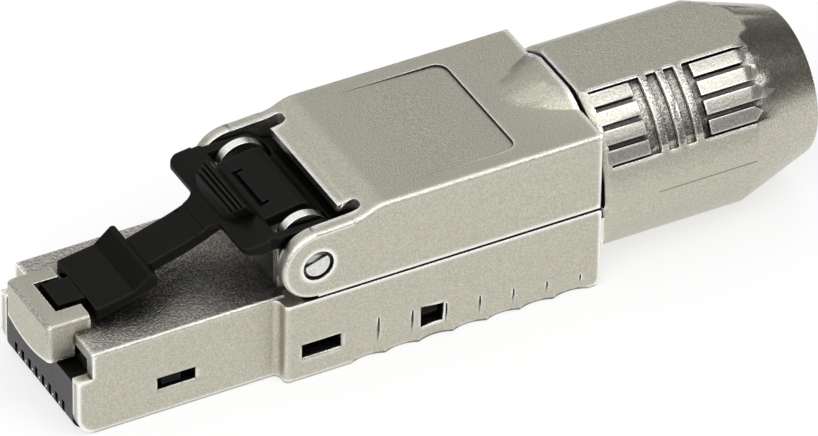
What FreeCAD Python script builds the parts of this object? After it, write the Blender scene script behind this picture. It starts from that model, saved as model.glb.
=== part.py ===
"""Field termination ethernet plug: metal housing, hinged lid, latch, contacts and strain relief.

Frame, in millimetres: X runs from the front of the nose to the cable end, Y across the plug
and +Z up, towards the latch. The origin is on the nose's front plane, at the middle of the
nose's flat contact side, so that side is the plane Z = 0.
"""
import math
import os

import FreeCAD
import Part
from FreeCAD import Vector

# Nose: the standard modular plug shape
NOSE_W = 11.68
NOSE_H = 6.6
NOSE_LEN = 15.1
NOSE_WALL = 0.85
NOSE_FLOOR = 0.85
NOSE_LEAD_R = 1.5
NOTCH_X = 1.1
NOTCH_DEPTH = 2.05
MOUTH_LEN = 8.3

# Lower housing
BODY_LEN = 24.3
BODY_STEP = 1.19
BODY_WALL = 1.03
BODY_FLOOR = 1.0
PARTING_DROP = 0.15
DECK_LEN = 5.1
DECK_T = 0.85
LEDGE_W = 1.0
STEP_FILLET_R = 0.5
BODY_FRONT_R = 0.35
BODY_REAR_R = 0.5
EDGE_R = 0.25

# Guard in front of the latch
GUARD_OVERHANG = 0.92
GUARD_REACH = 2.3
GUARD_W = 6.4
GUARD_RISE = 1.15
GUARD_DROP = 1.85
GUARD_SAG = 0.5
GUARD_SLOT_X = 0.43
GUARD_SLOT_W = 3.4
GUARD_CHAMFER = 0.4

# Hinge line, shared by the ears, the pins and the lid
HINGE_SETBACK = 2.45
HINGE_RISE = 2.8
PIN_R = 1.0
PIN_NECK_R = 0.7
PIN_END_GAP = 0.35
PIN_INNER_LEN = 0.5
PIN_SLOPE = 0.6
EAR_T = 0.7
EAR_W = 4.0
EAR_RISE = 0.8

# Side windows: near end and far end along X, low edge and high edge
NOSE_WINDOW = (6.05, 8.9, 1.85, 2.78)
CARD_WINDOW = (16.45, 19.35, 1.72, 2.75)
CATCH_WINDOW = (25.58, 27.2, 1.2, 2.78)
WINDOW_RIM = 0.16

# Finger scallops on the lower sides
SCALLOP_COUNT = 7
SCALLOP_PITCH = 2.61
SCALLOP_SETBACK = 6.35
SCALLOP_DEPTH = 0.28
SCALLOP_TOP0 = 3.35
SCALLOP_TOP1 = 1.55
RIB_LINE_SHIFT = 0.7
RIB_LINE_W = 0.13
RIB_LINE_DEPTH = 0.13

# Cable spigot behind the housing
AXIS_RISE = 0.45
SPIGOT_LEN = 6.0
SPIGOT_WALL = 1.0
KEY_W = 1.0
KEY_H = 0.45

# Lid
LID_GAP = 0.15
LID_H = 6.15
LID_WALL = 1.0
LID_ROOF = 0.9
LID_REAR_GAP = 0.25
BOSS_R = 2.67
BOSS_RIM = 0.18
TONGUE_SETBACK = 2.5
TONGUE_DROP = 0.69
TONGUE_T = 0.6
SHOULDER_LEN = 2.85
RELIEF_W = 1.1
RELIEF_LEN = 1.3
RELIEF_R = 0.4
LID_EDGE_R = 0.4
LID_REAR_CHAMFER = 0.12
LABEL_SETBACK = 2.6
LABEL_LEN = 8.1
LABEL_MARGIN = 1.58
LABEL_DEPTH = 0.16
LABEL_R = 0.9
HUMP_LEN = 4.4
HUMP_LOW = 0.35
GUIDE_SETBACK = 6.4
GUIDE_LEN = 3.0
GUIDE_DROP = 1.2
GUIDE_T = 0.6
GUIDE_ROOT = 3.0
COUNTERBORE_R = 1.16
COUNTERBORE_DEPTH = 0.45

# Strain relief sleeve
SLEEVE_LEN = 18.0
SLEEVE_PROUD = 0.23
SLEEVE_WALL = 1.2
SLEEVE_TAPER_LEN = 5.8
SLEEVE_FLAT_DEPTH = 0.63
SLEEVE_FRONT_CHAMFER = 0.4
FLARE_R = 0.95
CABLE_BORE_R = 4.6
CABLE_BORE_WALL = 0.8
CABLE_BORE_LEN = 5.0
GRIP_SETBACK = 0.9
GRIP_LEN = 13.1
GRIP_A0 = 24.8
GRIP_A1 = 69.0
GRIP_DEPTH = 0.42
GRIP_RIBS = 4
GRIP_RIB_W = 1.02
GRIP_RIB_LEN = 3.1
GRIP_POINT = 0.7
GRIP_REAR_SETBACK = 8.7
GRIP_REAR_TIPS = (13.1, 13.6, 13.65, 13.0)
RIDGE_SETBACK = (5.1, 6.47, 7.84)
RIDGE_W = 0.62

# Cable collet
COLLET_WALL = 0.9
COLLET_SLOTS = 6
COLLET_SLOT_W = 0.7
COLLET_RING_LEN = 2.0

# Latch, front part: places along X, heights above the nose
PIVOT_X = 1.3
PIVOT_RISE = 0.6
TRUNNION_R = 0.34
TRUNNION_LEN = 0.75
TIP_OUTLINE = ((0.8, 0.25), (0.8, 1.27), (3.4, 1.27), (3.4, 0.25))
TIP_W = 2.6
WEDGE_OUTLINE = ((2.8, 0.45), (2.8, 1.32), (5.7, 1.9), (6.85, 2.9), (7.25, 2.82), (7.5, 2.4), (7.48, 1.8))
WEDGE_W = 6.1
STRAP_TOP = ((6.9, 2.45), (8.3, 2.92), (10.4, 3.55), (11.75, 4.08), (12.6, 4.48), (13.4, 4.68))
STRAP_W = 3.26
STRAP_T = 0.9

# Latch, rear part: places along X and heights, both from the hinge line
WING_FRONT = -4.95
WING_REAR = -2.4
WING_STEP = -3.1
WING_TOP = ((-6.2, 1.28), (-4.95, 1.98), (-4.3, 2.27), (-2.7, 2.48), (-1.9, 2.3))
WING_UNDER = ((-1.9, 1.45), (-3.7, 1.45), (-4.95, 1.66), (-6.2, 0.75))
WING_SPREAD = 0.15
WING_R = 0.8
PAD_OUTLINE = ((-4.8, 1.5), (-4.7, 2.0), (-4.45, 2.88), (-3.98, 3.3), (-3.6, 3.46), (-3.3, 3.4), (-2.5, 2.4))
PAD_PLAN = ((-4.8, 1.65), (-4.45, 2.4), (-3.6, 2.9), (-2.4, 2.95))
PAD_GROOVES = ((-4.34, 2.87), (-4.06, 3.09), (-3.78, 3.26))
PAD_GROOVE_W = 0.15
BUTTON_OUTLINE = (
    (-2.9, 2.25),
    (-0.6, 2.62),
    (0.4, 2.78),
    (0.85, 2.7),
    (1.15, 2.5),
    (1.15, 2.0),
    (1.75, 1.6),
    (3.5, 1.2),
    (3.5, 0.75),
    (1.2, 0.95),
    (0.65, 1.75),
    (-2.9, 1.45),
)
GROOVE_X0 = -1.9
GROOVE_W = 0.26
GROOVE_SPAN = 4.2
GROOVE_FOOT = 0.75
GROOVE_FLOOR = 2.15
RAIL_W = 0.75
RAIL_OUTLINE = ((-2.6, 1.45), (-2.6, 2.3), (1.25, 2.3), (2.3, 1.5), (3.5, 1.2), (3.5, 0.75), (1.9, 0.85))
RAIL_RELIEF_R = 1.85
SKIRT_GAP = 0.12

# Contacts and their carrier
CONTACTS = 8
CONTACT_PITCH = 1.02
CONTACT_T = 0.36
CONTACT_NOSE_X = 0.3
CONTACT_FOOT_Z = 0.5
CONTACT_BACK_Z = 1.55
CONTACT_RISE_X = 5.4
CONTACT_BLADE_T = 0.4
CONTACT_X1 = 9.6
CARRIER_LEN = 7.9
CARRIER_H = 4.15
CARRIER_SIDE = 0.9
CARRIER_RAMP_X = 2.6
CARRIER_SLOT = 0.44
CARRIER_LEAD_R = 1.0
CATCH_REACH = 0.5
SCREEN_T = 0.2
SCREEN_FOOT = 1.35
SCREEN_SETBACK = 0.25

# Circuit card, terminal block and forks
CARD_Z = 1.75
CARD_T = 0.8
CARD_SETBACK = 6.4
BLOCK_SETBACK = 5.5
BLOCK_LEN = 10.8
BLOCK_SIDE = 1.0
BLOCK_DROP = 0.15
FORK_ROW_SETBACK = (2.8, 8.0)
FORK_COLUMNS = 4
FORK_EDGE = 1.1
FORK_W = 1.4
FORK_T = 0.4
FORK_RISE = 2.7
FORK_SLOT_W = 0.42
FORK_SLOT_DEPTH = 2.2
FORK_LEAD = 0.25
WIRE_W = 1.24

# Wire presser under the lid
PRESSER_SETBACK = 1.3
PRESSER_LEN = 10.3
PRESSER_PLATE_T = 0.9
PRESSER_STEP = 0.65
PRESSER_BITE = 1.0
PRESSER_RELIEF = 0.8

# Named clearances
RUN_GAP = 0.04
SLIDE_GAP = 0.06
SNUG_GAP = 0.03
SIDE_GAP = 0.1
ARM_GAP = 0.25
BUTTON_GAP = 0.71

# Length, shorter than any size above, by which a cutting tool passes a surface
OVER = 1.0

# Places that follow from the sizes above
HALF_NOSE = NOSE_W / 2
HALF_BODY = HALF_NOSE + BODY_STEP
NOSE_IN = HALF_NOSE - NOSE_WALL
BODY_IN = HALF_BODY - BODY_WALL
BODY_X0 = NOSE_LEN
BODY_X1 = BODY_X0 + BODY_LEN
BODY_TOP = NOSE_H - PARTING_DROP
NOSE_ROOF = NOSE_H - NOSE_WALL
GUARD_TOP = NOSE_H + GUARD_RISE
AXIS_Z = BODY_TOP + AXIS_RISE
HINGE_X = BODY_X0 + HINGE_SETBACK
HINGE_Z = BODY_TOP + HINGE_RISE
PIVOT_Z = NOSE_H + PIVOT_RISE
LID_BOTTOM = BODY_TOP + LID_GAP
LID_TOP = LID_BOTTOM + LID_H
LID_CEILING = LID_TOP - LID_ROOF
TONGUE_X = HINGE_X + TONGUE_SETBACK
TONGUE_Z = LID_TOP - TONGUE_DROP
SHOULDER_X = TONGUE_X + SHOULDER_LEN
SLEEVE_X0 = BODY_X1 + LID_REAR_GAP
SLEEVE_X1 = BODY_X1 + SLEEVE_LEN
SLEEVE_R = HALF_BODY + SLEEVE_PROUD
SLEEVE_FLAT = SLEEVE_R - SLEEVE_FLAT_DEPTH
SPIGOT_X1 = BODY_X1 + SPIGOT_LEN
SPIGOT_R = SLEEVE_R - SLEEVE_WALL - SLIDE_GAP
CABLE_WAY_R = SPIGOT_R - SPIGOT_WALL
COLLET_R = CABLE_WAY_R + SPIGOT_WALL / 2
RAIL_OUT = BODY_IN - ARM_GAP
RAIL_IN = RAIL_OUT - RAIL_W
EAR_OUT = RAIL_IN - SIDE_GAP
EAR_IN = EAR_OUT - EAR_T
BUTTON_HALF = EAR_IN - BUTTON_GAP
CARD_TOP = CARD_Z + CARD_T
CARD_X1 = BODY_X1 - CARD_SETBACK
BLOCK_X0 = BODY_X0 + BLOCK_SETBACK
BLOCK_X1 = BLOCK_X0 + BLOCK_LEN
BLOCK_HALF = BODY_IN - BLOCK_SIDE
BLOCK_TOP = BODY_TOP - BLOCK_DROP
FORK_TOP = BLOCK_TOP + FORK_RISE
PRESSER_X0 = BLOCK_X0 + PRESSER_SETBACK


def block(x0, x1, y0, y1, z0, z1):
    """Box between two corners."""
    return Part.makeBox(x1 - x0, y1 - y0, z1 - z0, Vector(x0, y0, z0))


def wide(x0, x1, half, z0, z1):
    """Box centred on the plug's middle plane."""
    return block(x0, x1, -half, half, z0, z1)


def outline_face(points):
    """Flat face inside a closed polygon."""
    return Part.Face(Part.makePolygon(points + [points[0]]))


def side_profile(points, y0, y1):
    """Closed outline in X and Z, pulled from y0 to y1."""
    return outline_face([Vector(x, y0, z) for x, z in points]).extrude(Vector(0, y1 - y0, 0))


def top_profile(points, z0, z1):
    """Closed outline in X and Y, pulled from z0 to z1."""
    return outline_face([Vector(x, y, z0) for x, y in points]).extrude(Vector(0, 0, z1 - z0))


def mirrored_outline(flank):
    """Outline that runs along one flank and back along its mirror image."""
    return flank + [(x, -y) for x, y in reversed(flank)]


def across(radius, x, z, y0, y1):
    """Cylinder along Y."""
    return Part.makeCylinder(radius, y1 - y0, Vector(x, y0, z), Vector(0, 1, 0))


def along(radius, x0, x1, z=AXIS_Z):
    """Cylinder along X."""
    return Part.makeCylinder(radius, x1 - x0, Vector(x0, 0, z), Vector(1, 0, 0))


def both_sides(shape):
    """The shape and its mirror image across the middle plane."""
    return [shape, shape.mirror(Vector(0, 0, 0), Vector(0, 1, 0))]


def joined(shapes):
    """One solid from several that overlap or share a face."""
    return shapes[0].multiFuse(shapes[1:]).removeSplitter()


def picked(shape, test):
    """Edges whose box passes the test: lowest and highest X, Y and Z."""
    edges = []
    for edge in shape.Edges:
        box = edge.BoundBox
        if test(box.XMin, box.XMax, box.YMin, box.YMax, box.ZMin, box.ZMax):
            edges.append(edge)
    return edges


def rounded(shape, radius, test):
    """Fillet the edges that the test picks out."""
    return shape.makeFillet(radius, picked(shape, test))


def bevelled(shape, size, test):
    """Chamfer the edges that the test picks out."""
    return shape.makeChamfer(size, picked(shape, test))


def window_cut(window, surface_y, inner_y):
    """Window through one side wall, with a small sloped rim at the surface."""
    x0, x1, z0, z1 = window
    hole = block(x0, x1, inner_y, surface_y + OVER, z0, z1)

    def ring(grow, y):
        corners = [(x0 - grow, z0 - grow), (x1 + grow, z0 - grow), (x1 + grow, z1 + grow), (x0 - grow, z1 + grow)]
        loop = [Vector(x, y, z) for x, z in corners]
        return Part.makePolygon(loop + [loop[0]])

    rim = Part.makeLoft([ring(0.0, surface_y - WINDOW_RIM), ring(WINDOW_RIM, surface_y)], True)
    return hole.fuse(rim)


def scallop_cuts():
    """Finger scallops that fade out upwards, and the fine line beside each one."""
    tools = []
    half = SCALLOP_PITCH / 2
    radius = half * half / (2 * SCALLOP_DEPTH) + SCALLOP_DEPTH / 2
    for index in range(SCALLOP_COUNT):
        share = index / (SCALLOP_COUNT - 1)
        top = SCALLOP_TOP0 + (SCALLOP_TOP1 - SCALLOP_TOP0) * share
        x = BODY_X0 + SCALLOP_SETBACK + index * SCALLOP_PITCH
        lean = Vector(0, -SCALLOP_DEPTH, top)
        lean.normalize()
        foot = Vector(x, -(HALF_BODY + radius - SCALLOP_DEPTH), 0) - lean * OVER
        tools.append(Part.makeCylinder(radius, top + 3 * OVER, foot, lean))
        line_x = x + RIB_LINE_SHIFT
        inner_y = -HALF_BODY + RIB_LINE_DEPTH
        line_top = top - RIB_LINE_W
        tools.append(block(line_x, line_x + RIB_LINE_W, -HALF_BODY - OVER, inner_y, -OVER, line_top))
    return tools


def guard():
    """Metal guard that shields and holds the front of the latch."""
    half = GUARD_W / 2
    front = -GUARD_OVERHANG
    bottom = NOSE_H - GUARD_DROP
    main = wide(front, GUARD_REACH, half, bottom, GUARD_TOP)
    main = rounded(main, GUARD_CHAMFER, lambda x0, x1, y0, y1, z0, z1: x1 < front + 0.01 and z1 - z0 > GUARD_RISE)
    main = bevelled(
        main,
        GUARD_CHAMFER * 0.8,
        lambda x0, x1, y0, y1, z0, z1: x1 < front + GUARD_CHAMFER + 0.01 and z0 > GUARD_TOP - 0.01,
    )
    main = main.cut(wide(NOTCH_X, GUARD_REACH + OVER, half + OVER, bottom - OVER, NOSE_ROOF))
    lip_half = half - GUARD_CHAMFER
    corner = Vector(front, lip_half, bottom)
    other = Vector(front, -lip_half, bottom)
    bow = Part.Arc(other, Vector(front, 0, bottom - GUARD_SAG), corner).toShape()
    lip = Part.Face(Part.Wire([bow, Part.makeLine(corner, other)])).extrude(Vector(NOTCH_X - front, 0, 0))
    slot = wide(GUARD_SLOT_X, GUARD_REACH + OVER, GUARD_SLOT_W / 2, NOSE_H, GUARD_TOP + OVER)
    seat_half = GUARD_SLOT_W / 2 + TRUNNION_LEN
    seat = across(TRUNNION_R + RUN_GAP, PIVOT_X, PIVOT_Z, -seat_half, seat_half)
    return main.fuse(lip).cut([slot, seat])


def ear():
    """Round-topped ear that carries one hinge pin."""
    half = EAR_W / 2
    top_z = HINGE_Z + EAR_RISE
    post = block(HINGE_X - half, HINGE_X + half, -EAR_OUT, -EAR_IN, BODY_TOP - DECK_T, top_z)
    dome = across(half, HINGE_X, top_z, -EAR_OUT, -EAR_IN)
    hole = across(PIN_NECK_R, HINGE_X, HINGE_Z, -EAR_OUT - OVER, -EAR_IN + OVER)
    return post.fuse(dome).cut(hole)


def nose():
    """Outside of the nose, before it is hollowed."""
    shape = wide(0, NOSE_LEN + STEP_FILLET_R, HALF_NOSE, 0, NOSE_H)
    shape = rounded(shape, NOSE_LEAD_R, lambda x0, x1, y0, y1, z0, z1: x1 < 0.01 and z1 < 0.01)
    shape = rounded(shape, EDGE_R, lambda x0, x1, y0, y1, z0, z1: x1 - x0 > NOSE_H and z0 > NOSE_H - 0.01)
    return shape.cut(wide(-OVER, NOTCH_X, HALF_NOSE + OVER, NOSE_H - NOTCH_DEPTH, NOSE_H + OVER))


def trough():
    """Outside of the wide rear part, with a hollow corner where it meets the nose."""
    shape = wide(BODY_X0, BODY_X1, HALF_BODY, 0, BODY_TOP)
    shape = rounded(
        shape, BODY_FRONT_R, lambda x0, x1, y0, y1, z0, z1: x1 < BODY_X0 + 0.01 and z1 - z0 > BODY_TOP - 0.01
    )
    shape = rounded(shape, BODY_REAR_R, lambda x0, x1, y0, y1, z0, z1: x0 > BODY_X1 - 0.01 and z1 < 0.01)
    web_x = BODY_X0 - STEP_FILLET_R
    web_y = -HALF_NOSE - STEP_FILLET_R
    web = block(web_x, BODY_X0 + EDGE_R, web_y, -HALF_NOSE + EDGE_R, 0, BODY_TOP)
    web = web.cut(Part.makeCylinder(STEP_FILLET_R, BODY_TOP + 2 * OVER, Vector(web_x, web_y, -OVER)))
    return joined([shape] + both_sides(web))


def housing():
    """Die-cast lower housing: nose, trough, deck with two ears, guard and cable spigot."""
    deck_x1 = BODY_X0 + DECK_LEN
    inner_x0 = BODY_X0 + BODY_WALL
    shell = joined([nose(), trough()])
    shell = shell.cut(
        [
            wide(-OVER, MOUTH_LEN, NOSE_IN, -OVER, NOSE_ROOF),
            wide(MOUTH_LEN - SIDE_GAP, inner_x0, NOSE_IN, NOSE_FLOOR, NOSE_ROOF),
            wide(inner_x0, deck_x1 + SIDE_GAP, BODY_IN, BODY_FLOOR, BODY_TOP - DECK_T),
            wide(deck_x1, BODY_X1 - LID_WALL, BODY_IN, BODY_FLOOR, BODY_TOP + OVER),
        ]
    )
    ledge = block(inner_x0, CARD_X1, BODY_IN - LEDGE_W, BODY_IN + SIDE_GAP, BODY_FLOOR - SIDE_GAP, CARD_Z)
    lid_room = wide(BODY_X1 - OVER, SLEEVE_X0, HALF_BODY, BODY_TOP, LID_TOP + 2 * OVER)
    spigot = along(SPIGOT_R, BODY_X1 - EDGE_R, SPIGOT_X1)
    key_y = SPIGOT_R - EDGE_R
    key = block(SLEEVE_X0, SPIGOT_X1, key_y, SPIGOT_R + KEY_H, AXIS_Z - KEY_W / 2, AXIS_Z + KEY_W / 2)
    shell = joined([shell, spigot.cut(lid_room)] + both_sides(ledge) + both_sides(key))
    shell = shell.cut(along(CABLE_WAY_R, BODY_X1 - LID_WALL - OVER, SPIGOT_X1 + OVER))
    shell = joined([shell, guard()] + both_sides(ear()))
    tools = scallop_cuts()
    tools.append(window_cut(NOSE_WINDOW, HALF_NOSE, NOSE_IN - SIDE_GAP))
    tools.append(window_cut(CARD_WINDOW, HALF_BODY, BODY_IN - SIDE_GAP))
    tools.append(window_cut(CATCH_WINDOW, HALF_BODY, BODY_IN - SIDE_GAP))
    pairs = []
    for tool in tools:
        pairs.extend(both_sides(tool))
    return shell.cut(pairs).removeSplitter()


def shoulder_edges(y):
    """Two equal arcs that lead from the lid's top down to its front tongue."""
    run = (SHOULDER_X - TONGUE_X) / 2
    drop = TONGUE_DROP / 2
    radius = (run * run + drop * drop) / (2 * drop)
    half_turn = math.asin(run / radius) / 2
    dx = radius * math.sin(half_turn)
    dz = radius * (1 - math.cos(half_turn))
    middle = Vector(TONGUE_X + run, y, TONGUE_Z + drop)
    upper = Part.Arc(Vector(SHOULDER_X, y, LID_TOP), Vector(SHOULDER_X - dx, y, LID_TOP - dz), middle)
    lower = Part.Arc(middle, Vector(TONGUE_X + dx, y, TONGUE_Z + dz), Vector(TONGUE_X, y, TONGUE_Z))
    return [upper.toShape(), lower.toShape()]


def lid_arm():
    """Side arm of the lid with its round hinge boss, near side."""
    outer = -HALF_BODY
    boss = across(BOSS_R, HINGE_X, HINGE_Z, outer, -BODY_IN)
    boss = bevelled(boss, BOSS_RIM, lambda x0, x1, y0, y1, z0, z1: y1 < outer + 0.01)
    back_x = TONGUE_X + BOSS_RIM
    neck = side_profile(
        [
            (HINGE_X, HINGE_Z - BOSS_R),
            (back_x, LID_BOTTOM),
            (back_x, TONGUE_Z),
            (HINGE_X + BOSS_RIM, HINGE_Z + BOSS_R),
        ],
        outer,
        -BODY_IN,
    )
    neck = bevelled(
        neck, BOSS_RIM, lambda x0, x1, y0, y1, z0, z1: y1 < outer + 0.01 and z0 > HINGE_Z and x1 - x0 > BOSS_RIM
    )
    return boss.fuse(neck)


def lid():
    """Die-cast lid with two hinge arms, a front tongue, a label panel and a rear hump."""
    corners = [
        Vector(TONGUE_X, -HALF_BODY, TONGUE_Z),
        Vector(TONGUE_X, -HALF_BODY, LID_BOTTOM),
        Vector(BODY_X1, -HALF_BODY, LID_BOTTOM),
        Vector(BODY_X1, -HALF_BODY, LID_TOP),
        Vector(SHOULDER_X, -HALF_BODY, LID_TOP),
    ]
    edges = shoulder_edges(-HALF_BODY)
    for start, end in zip(corners[:-1], corners[1:]):
        edges.append(Part.makeLine(start, end))
    shell = Part.Face(Part.Wire(Part.__sortEdges__(edges))).extrude(Vector(0, 2 * HALF_BODY, 0))
    shell = bevelled(
        shell, LID_REAR_CHAMFER, lambda x0, x1, y0, y1, z0, z1: x0 > BODY_X1 - 0.01 and z1 - z0 > LID_H - 0.01
    )
    shell = rounded(
        shell,
        LID_EDGE_R,
        lambda x0, x1, y0, y1, z0, z1: x1 - x0 > OVER and z0 > TONGUE_Z - 0.01 and y1 - y0 < 0.01,
    )
    hump = Part.makeCone(
        LID_TOP - AXIS_Z, SLEEVE_R - HUMP_LOW, HUMP_LEN, Vector(BODY_X1 - HUMP_LEN, 0, AXIS_Z), Vector(1, 0, 0)
    )
    hump = hump.common(wide(BODY_X1 - HUMP_LEN, BODY_X1, HALF_BODY, LID_TOP - LID_ROOF / 2, AXIS_Z + SLEEVE_FLAT))

    roof_x = TONGUE_X + SHOULDER_LEN * 0.8
    relief = block(TONGUE_X - OVER, TONGUE_X + RELIEF_LEN, BODY_IN - RELIEF_W, BODY_IN, TONGUE_Z - 3 * OVER, LID_TOP)
    relief = rounded(
        relief, RELIEF_R, lambda x0, x1, y0, y1, z0, z1: x0 > TONGUE_X + RELIEF_LEN - 0.01 and z1 - z0 > OVER
    )
    hole = across(PIN_R + RUN_GAP, HINGE_X, HINGE_Z, -HALF_BODY - OVER, -BODY_IN + OVER)
    mouth = across(COUNTERBORE_R, HINGE_X, HINGE_Z, -HALF_BODY - OVER, -HALF_BODY + COUNTERBORE_DEPTH)
    panel_x0 = SHOULDER_X + LABEL_SETBACK
    panel_x1 = panel_x0 + LABEL_LEN
    panel_half = HALF_BODY - LABEL_MARGIN
    panel = side_profile(
        [
            (panel_x0, LID_TOP),
            (panel_x1, LID_TOP - LABEL_DEPTH),
            (panel_x1, LID_TOP + OVER),
            (panel_x0, LID_TOP + OVER),
        ],
        -panel_half,
        panel_half,
    )
    panel = rounded(panel, LABEL_R, lambda x0, x1, y0, y1, z0, z1: x0 > panel_x1 - 0.01 and y1 - y0 < 0.01)
    shell = joined([shell, hump] + both_sides(lid_arm()))
    shell = shell.cut(
        [
            wide(TONGUE_X - OVER, roof_x, BODY_IN, LID_BOTTOM - OVER, TONGUE_Z - TONGUE_T),
            wide(roof_x - SIDE_GAP, BODY_X1 - LID_WALL, BODY_IN, LID_BOTTOM - OVER, LID_CEILING),
            wide(HINGE_X - BOSS_R - OVER, TONGUE_X, BODY_IN, LID_BOTTOM - OVER, LID_TOP + OVER),
            along(CABLE_WAY_R, BODY_X1 - LID_WALL - OVER, BODY_X1 + OVER),
            panel,
        ]
        + both_sides(relief)
        + both_sides(hole)
        + both_sides(mouth)
    )

    guide_x0 = BODY_X1 - GUIDE_SETBACK
    guide_x1 = guide_x0 + GUIDE_LEN
    guide_y = BODY_IN - SIDE_GAP
    guide_z = LID_BOTTOM + GUIDE_ROOT
    guide = block(guide_x0, guide_x1, guide_y - GUIDE_T, guide_y, LID_BOTTOM - GUIDE_DROP, guide_z)
    root = block(guide_x0, guide_x1, guide_y - GUIDE_T, BODY_IN + SIDE_GAP, LID_BOTTOM, guide_z)
    return joined([shell] + both_sides(guide.fuse(root)))


def hinge_pin():
    """Stepped steel pin, with a sloped lead on the upper half of its outer end."""
    outer_y = -HALF_BODY + PIN_END_GAP
    pin = across(PIN_R, HINGE_X, HINGE_Z, outer_y, -BODY_IN)
    neck = across(PIN_NECK_R, HINGE_X, HINGE_Z, -BODY_IN - SIDE_GAP, -EAR_IN + PIN_INNER_LEN)
    low = HINGE_Z + PIN_R * 0.15
    high = HINGE_Z + PIN_R + SNUG_GAP
    side = HINGE_X - PIN_R - SNUG_GAP
    slope = outline_face(
        [
            Vector(side, outer_y - SNUG_GAP, low),
            Vector(side, outer_y + PIN_SLOPE, high),
            Vector(side, outer_y - SNUG_GAP, high),
        ]
    ).extrude(Vector(2 * (PIN_R + SNUG_GAP), 0, 0))
    return pin.fuse(neck).cut(slope)


def above_nose(outline):
    """Latch outline measured from the nose: heights become places."""
    return [(x, NOSE_H + rise) for x, rise in outline]


def about_hinge(outline):
    """Latch outline measured from the hinge line."""
    return [(HINGE_X + dx, HINGE_Z + dz) for dx, dz in outline]


def latch_front():
    """Trunnion tip, the ramp with its two shoulders and the strap behind it."""
    tip = side_profile(above_nose(TIP_OUTLINE), -TIP_W / 2, TIP_W / 2)
    reach = GUARD_SLOT_W / 2 + TRUNNION_LEN - SIDE_GAP
    trunnion = across(TRUNNION_R, PIVOT_X, PIVOT_Z, -reach, reach)
    wedge = side_profile(above_nose(WEDGE_OUTLINE), -WEDGE_W / 2, WEDGE_W / 2)
    front_x = WEDGE_OUTLINE[0][0]
    wedge = rounded(wedge, EDGE_R, lambda x0, x1, y0, y1, z0, z1: x1 < front_x + 0.01 and y1 - y0 < 0.01)
    top_line = Part.BSplineCurve()
    top_line.interpolate(Points=[Vector(x, -STRAP_W / 2, z) for x, z in above_nose(STRAP_TOP)])
    upper = top_line.toShape()
    lower = upper.copy()
    lower.translate(Vector(0, 0, -STRAP_T))
    front = Part.makeLine(upper.Vertexes[0].Point, lower.Vertexes[0].Point)
    rear = Part.makeLine(upper.Vertexes[-1].Point, lower.Vertexes[-1].Point)
    strap = Part.Face(Part.Wire([upper, rear, lower, front])).extrude(Vector(0, STRAP_W, 0))
    return [tip, trunnion, wedge, strap]


def latch_wings():
    """Thumb tab that spreads out to both sides in front of the lid's arms."""
    x0 = HINGE_X + WING_FRONT
    neck_x = x0 - WING_R - SIDE_GAP
    step_x = HINGE_X + WING_STEP
    flank = [
        (neck_x, STRAP_W / 2),
        (x0, STRAP_W / 2),
        (x0, RAIL_OUT + WING_SPREAD),
        (step_x, RAIL_OUT + WING_SPREAD),
        (step_x, RAIL_OUT),
        (HINGE_X + WING_REAR, RAIL_OUT),
    ]
    plan = top_profile(mirrored_outline(flank), BODY_TOP, LID_TOP)
    plan = rounded(plan, WING_R, lambda ex0, ex1, y0, y1, z0, z1: x0 - 0.01 < ex0 and ex1 < x0 + 0.01 and y1 - y0 < 0.01)
    half = RAIL_OUT + 2 * WING_SPREAD
    return plan.common(side_profile(about_hinge(WING_TOP + WING_UNDER), -half, half))


def latch_button():
    """Raised pad with grip grooves, and the button behind it that reaches under the lid."""
    pad_foot = ((WING_REAR, WING_UNDER[0][1]),)
    pad = side_profile(about_hinge(PAD_OUTLINE + pad_foot), -BUTTON_HALF, BUTTON_HALF)
    flank = [(HINGE_X + dx, half) for dx, half in PAD_PLAN]
    pad = pad.common(top_profile(mirrored_outline(flank), BODY_TOP, LID_TOP + OVER))
    button = side_profile(about_hinge(BUTTON_OUTLINE), -BUTTON_HALF, BUTTON_HALF)
    cuts = []
    for x, z in about_hinge(PAD_GROOVES):
        cuts.append(wide(x, x + PAD_GROOVE_W, BUTTON_HALF, z, z + OVER))
    groove_x = HINGE_X + GROOVE_X0
    floor = HINGE_Z + GROOVE_FLOOR
    half = GROOVE_SPAN / 2
    cuts.append(wide(groove_x, groove_x + GROOVE_W, half, floor, floor + OVER))
    foot = block(groove_x, groove_x + GROOVE_FOOT, half - GROOVE_W, half, floor, floor + OVER)
    return pad.fuse(button).cut(cuts + both_sides(foot))


def latch_rails():
    """Rails that pass over the hinge pins beside the ears, and the skirt that joins them."""
    rail = side_profile(about_hinge(RAIL_OUTLINE), -RAIL_OUT, -RAIL_IN)
    relief = across(RAIL_RELIEF_R, HINGE_X, HINGE_Z, -RAIL_OUT - OVER, -RAIL_IN + OVER)
    skirt = side_profile(about_hinge(RAIL_OUTLINE), -RAIL_OUT, RAIL_OUT)
    skirt_x0 = HINGE_X + EAR_W / 2 + SKIRT_GAP
    skirt = skirt.common(wide(skirt_x0, SHOULDER_X, RAIL_OUT, BODY_TOP, LID_TOP))
    return both_sides(rail.cut(relief)) + [skirt]


def latch():
    """One-piece plastic latch, from the trunnions in the guard to the skirt under the lid."""
    return joined(latch_front() + [latch_wings(), latch_button()] + latch_rails())


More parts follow.
